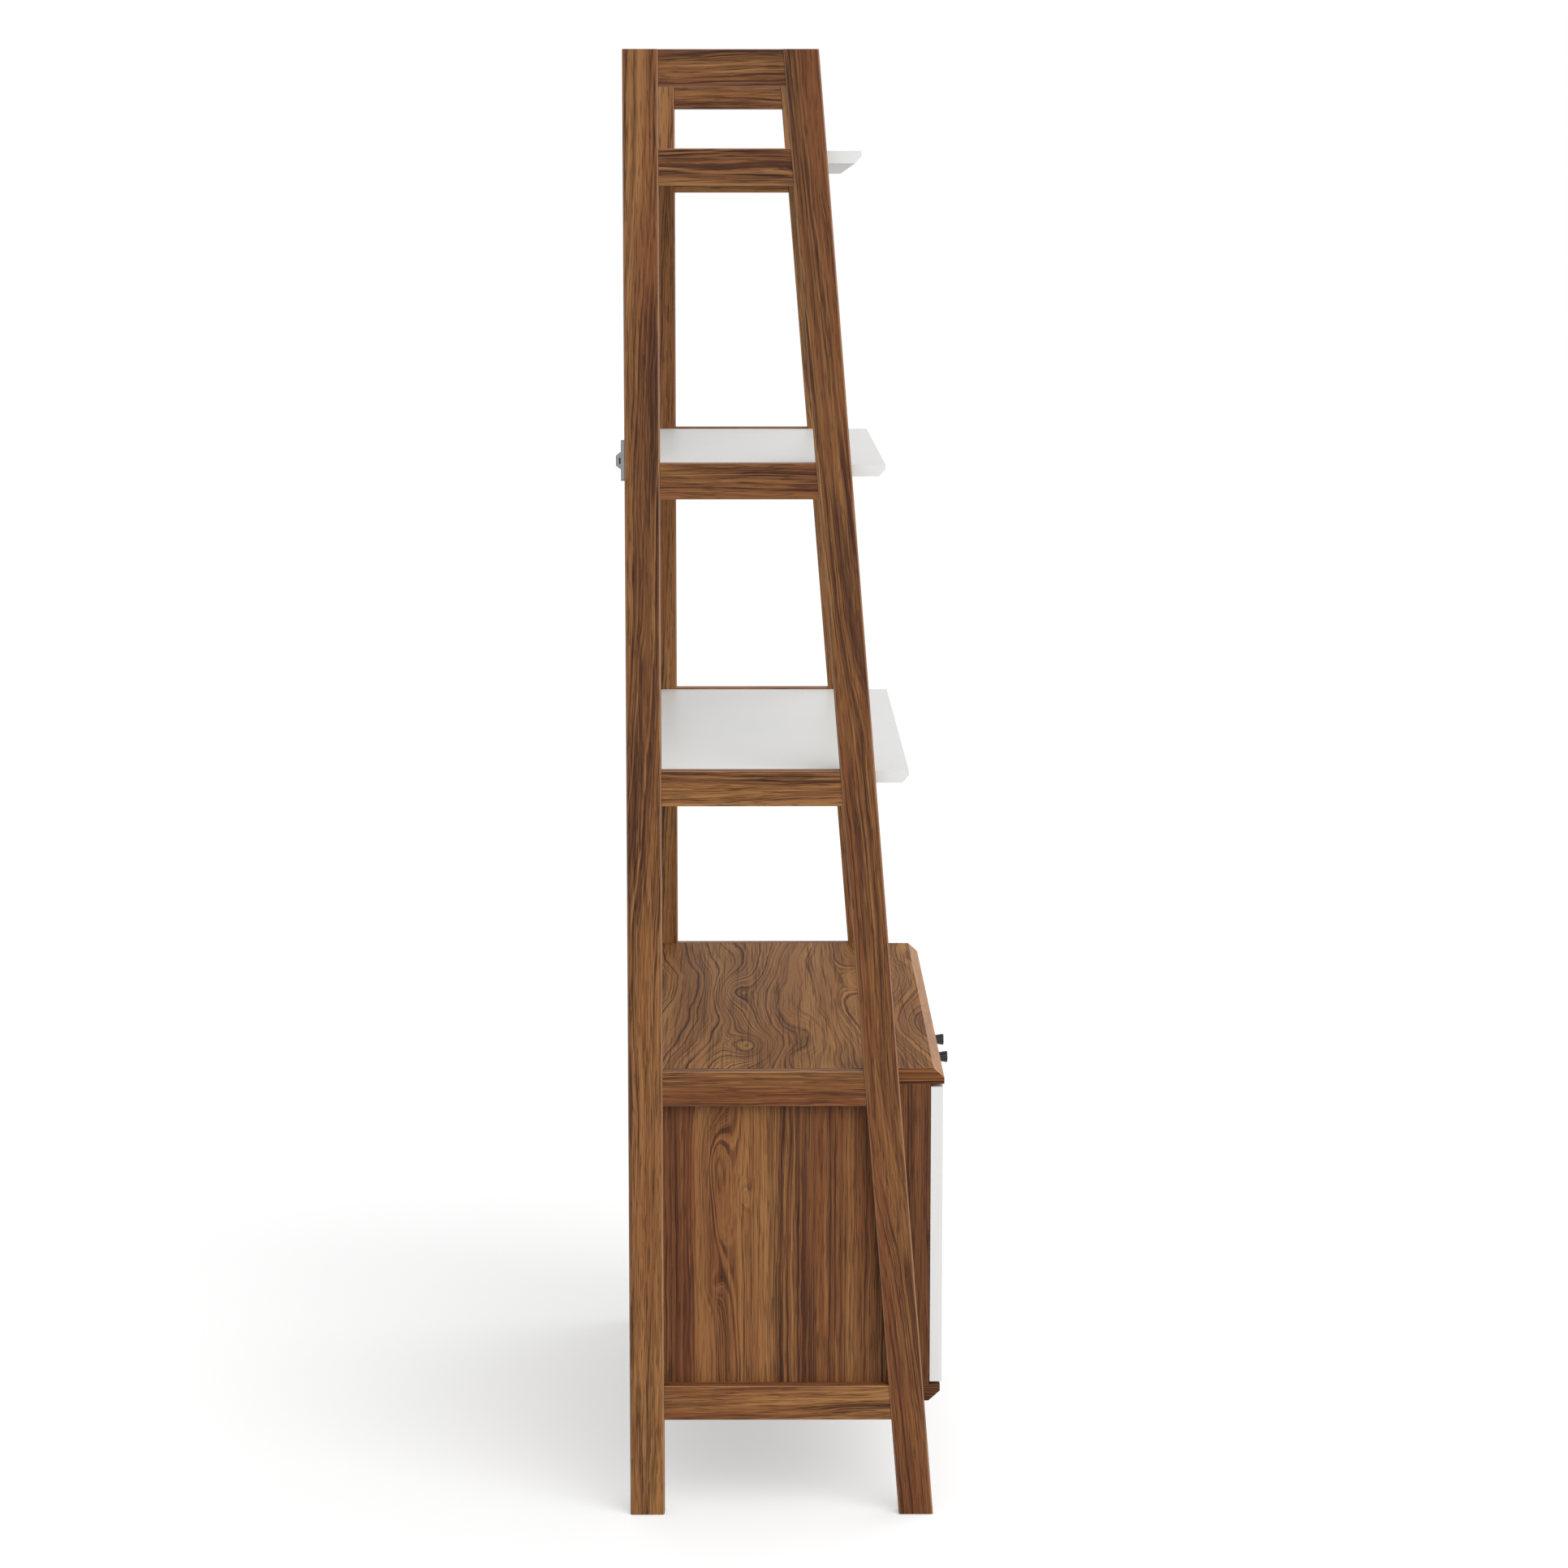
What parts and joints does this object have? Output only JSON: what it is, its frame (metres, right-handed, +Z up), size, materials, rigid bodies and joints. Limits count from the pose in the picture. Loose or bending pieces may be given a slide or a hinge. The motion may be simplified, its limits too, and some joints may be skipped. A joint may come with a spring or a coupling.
{
  "type": "ladder shelf",
  "caption": "Leaning ladder shelf with walnut side frames, white open shelves and a walnut cabinet with white doors and black knobs at the bottom.",
  "frame": {"origin": "on the floor, under the middle of the overall box", "axes": "X across the width with the right side at +X, front faces -Y, Z up"},
  "size_m": [0.838, 0.4248, 1.816],
  "materials": {
    "walnut": "satin walnut laminate, grain along each piece",
    "walnut_panel": "satin walnut laminate on panels",
    "walnut_back": "printed walnut hardboard",
    "beech": "plain turned dowel",
    "white_board": "satin white lacquered board",
    "black_knob": "black satin knob",
    "steel": "zinc plated steel",
    "zinc": "die-cast zinc",
    "nickel": "nickel plated pressing",
    "catch_plastic": "moulded plastic",
    "black_nylon": "black nylon tie",
    "grey_bracket": "grey moulded bracket"
  },
  "bodies": {
    "frame": {"left_rear_leg": "walnut", "left_front_leg": "walnut", "left_top_rail": "walnut", "left_upper_rail": "walnut", "left_middle_rail": "walnut", "left_lower_rail": "walnut", "left_cabinet_rail": "walnut", "left_bottom_rail": "walnut", "right_rear_leg": "walnut", "right_front_leg": "walnut", "right_top_rail": "walnut", "right_upper_rail": "walnut", "right_middle_rail": "walnut", "right_lower_rail": "walnut", "right_cabinet_rail": "walnut", "right_bottom_rail": "walnut", "frame_dowels": "beech", "upper_shelf": "white_board", "middle_shelf": "white_board", "lower_shelf": "white_board", "cam_bolts": "steel", "cam_nuts": "zinc", "cabinet_top": "walnut_panel", "cabinet_bottom": "walnut_panel", "left_side_panel": "walnut_panel", "right_side_panel": "walnut_panel", "cabinet_dowels": "beech", "back_panel": "walnut_back", "back_panel_nails": "steel", "inner_shelf": "walnut_panel", "shelf_pins": "steel", "left_hinge_arms": "nickel", "right_hinge_arms": "nickel", "left_hinge_plates": "nickel", "right_hinge_plates": "nickel", "hinge_plate_screws": "steel", "hinge_arm_screws": "steel", "magnet_catches": "catch_plastic", "left_wall_bracket": "grey_bracket", "right_wall_bracket": "grey_bracket", "wall_bracket_screws": "steel", "wall_ties": "black_nylon"},
    "left_door": {"left_door": "white_board", "left_knob": "black_knob", "left_knob_screw": "steel", "left_hinge_cups": "nickel", "left_cup_screws": "steel", "left_strike_plate": "steel"},
    "left_inner_links": {"left_inner_links": "nickel"},
    "left_outer_links": {"left_outer_links": "nickel"},
    "right_door": {"right_door": "white_board", "right_knob": "black_knob", "right_knob_screw": "steel", "right_hinge_cups": "nickel", "right_cup_screws": "steel", "right_strike_plate": "steel"},
    "right_inner_links": {"right_inner_links": "nickel"},
    "right_outer_links": {"right_outer_links": "nickel"}
  },
  "joints": [
    {"name": "left_door_hinge", "type": "hinge", "parent": "frame", "child": "left_door", "pos_m": [-0.399, -0.1749, 0.356], "axis": [0, 0, -1], "range_deg": [0, 95]},
    {"name": "left_inner_link_turn", "type": "hinge", "parent": "frame", "child": "left_inner_links", "pos_m": [-0.399, -0.1749, 0.356], "axis": [0, 0, -1], "range_deg": [0, 32]},
    {"name": "left_outer_link_turn", "type": "hinge", "parent": "frame", "child": "left_outer_links", "pos_m": [-0.399, -0.1749, 0.356], "axis": [0, 0, -1], "range_deg": [0, 81]},
    {"name": "right_door_hinge", "type": "hinge", "parent": "frame", "child": "right_door", "pos_m": [0.399, -0.1749, 0.356], "axis": [0, 0, 1], "range_deg": [0, 95]},
    {"name": "right_inner_link_turn", "type": "hinge", "parent": "frame", "child": "right_inner_links", "pos_m": [0.399, -0.1749, 0.356], "axis": [0, 0, 1], "range_deg": [0, 32]},
    {"name": "right_outer_link_turn", "type": "hinge", "parent": "frame", "child": "right_outer_links", "pos_m": [0.399, -0.1749, 0.356], "axis": [0, 0, 1], "range_deg": [0, 81]}
  ],
  "couplings": [
    {"joint": "left_inner_link_turn", "follows": "left_door_hinge", "ratio": 0.33},
    {"joint": "left_outer_link_turn", "follows": "left_door_hinge", "ratio": 0.85},
    {"joint": "right_inner_link_turn", "follows": "right_door_hinge", "ratio": 0.33},
    {"joint": "right_outer_link_turn", "follows": "right_door_hinge", "ratio": 0.85}
  ]
}
